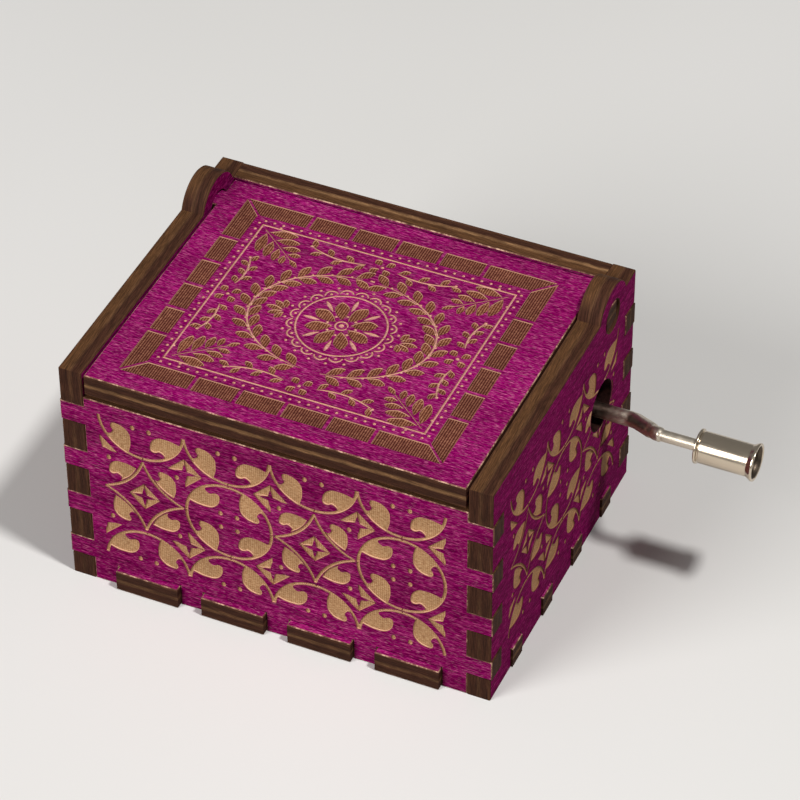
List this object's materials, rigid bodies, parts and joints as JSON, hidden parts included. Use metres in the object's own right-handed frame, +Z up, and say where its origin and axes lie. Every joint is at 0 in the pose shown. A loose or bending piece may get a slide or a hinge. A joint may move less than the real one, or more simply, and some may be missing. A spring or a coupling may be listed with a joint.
{
  "type": "hand-crank music box",
  "caption": "Small finger-jointed plywood music box with a peg-hinged lid, a comb and pinned drum inside, and a cranked metal handle with a turning knob on the right.",
  "frame": {"origin": "middle of the underside of the plywood case", "axes": "+X along the box towards the crank, +Y to the rear, where the lid's hinge is, +Z up"},
  "size_m": [0.0896, 0.0528, 0.0413],
  "materials": {
    "stained_plywood": "thin plywood, both faces stained magenta purple, laser-cut edges burnt dark brown",
    "cast_bedplate": "die-cast zinc, nickel plated, satin",
    "screw_steel": "plated steel",
    "comb_steel": "ground hardened steel",
    "solder_weight": "dull soft solder",
    "bracket_steel": "bent strip, plated",
    "drum_brass": "fine turned brass",
    "gear_brass": "cut gear brass",
    "plated_steel": "polished nickel plate"
  },
  "bodies": {
    "case": {"bottom_panel": "stained_plywood", "front_panel": "stained_plywood", "back_panel": "stained_plywood", "left_panel": "stained_plywood", "right_panel": "stained_plywood", "bedplate": "cast_bedplate", "mounting_screws": "screw_steel", "comb": "comb_steel", "comb_weights": "solder_weight", "comb_screws": "screw_steel", "worm_bracket": "bracket_steel", "bracket_screw": "screw_steel"},
    "lid": {"lid_panel": "stained_plywood"},
    "crank": {"crank_rod": "plated_steel", "crank_worm": "gear_brass"},
    "drum": {"pinned_drum": "drum_brass", "drum_cap_front": "drum_brass", "drum_cap_rear": "drum_brass", "drum_arbor": "comb_steel", "worm_wheel": "gear_brass"},
    "knob": {"crank_knob": "plated_steel"}
  },
  "joints": [
    {"name": "lid_hinge", "type": "hinge", "parent": "case", "child": "lid", "pos_m": [0, 0.0169, 0.03615], "axis": [-1, 0, 0], "range_deg": [0, 132]},
    {"name": "crank_spin", "type": "hinge", "parent": "case", "child": "crank", "pos_m": [0.032, 0.0144, 0.0207], "axis": [1, 0, 0], "continuous": true},
    {"name": "drum_spin", "type": "hinge", "parent": "case", "child": "drum", "pos_m": [0.005, 0, 0.0133], "axis": [0, 1, 0], "continuous": true},
    {"name": "knob_spin", "type": "hinge", "parent": "crank", "child": "knob", "pos_m": [0.053, 0.00721, 0.02612], "axis": [1, 0, 0], "continuous": true}
  ],
  "couplings": [
    {"joint": "drum_spin", "follows": "crank_spin", "ratio": -0.041667}
  ]
}
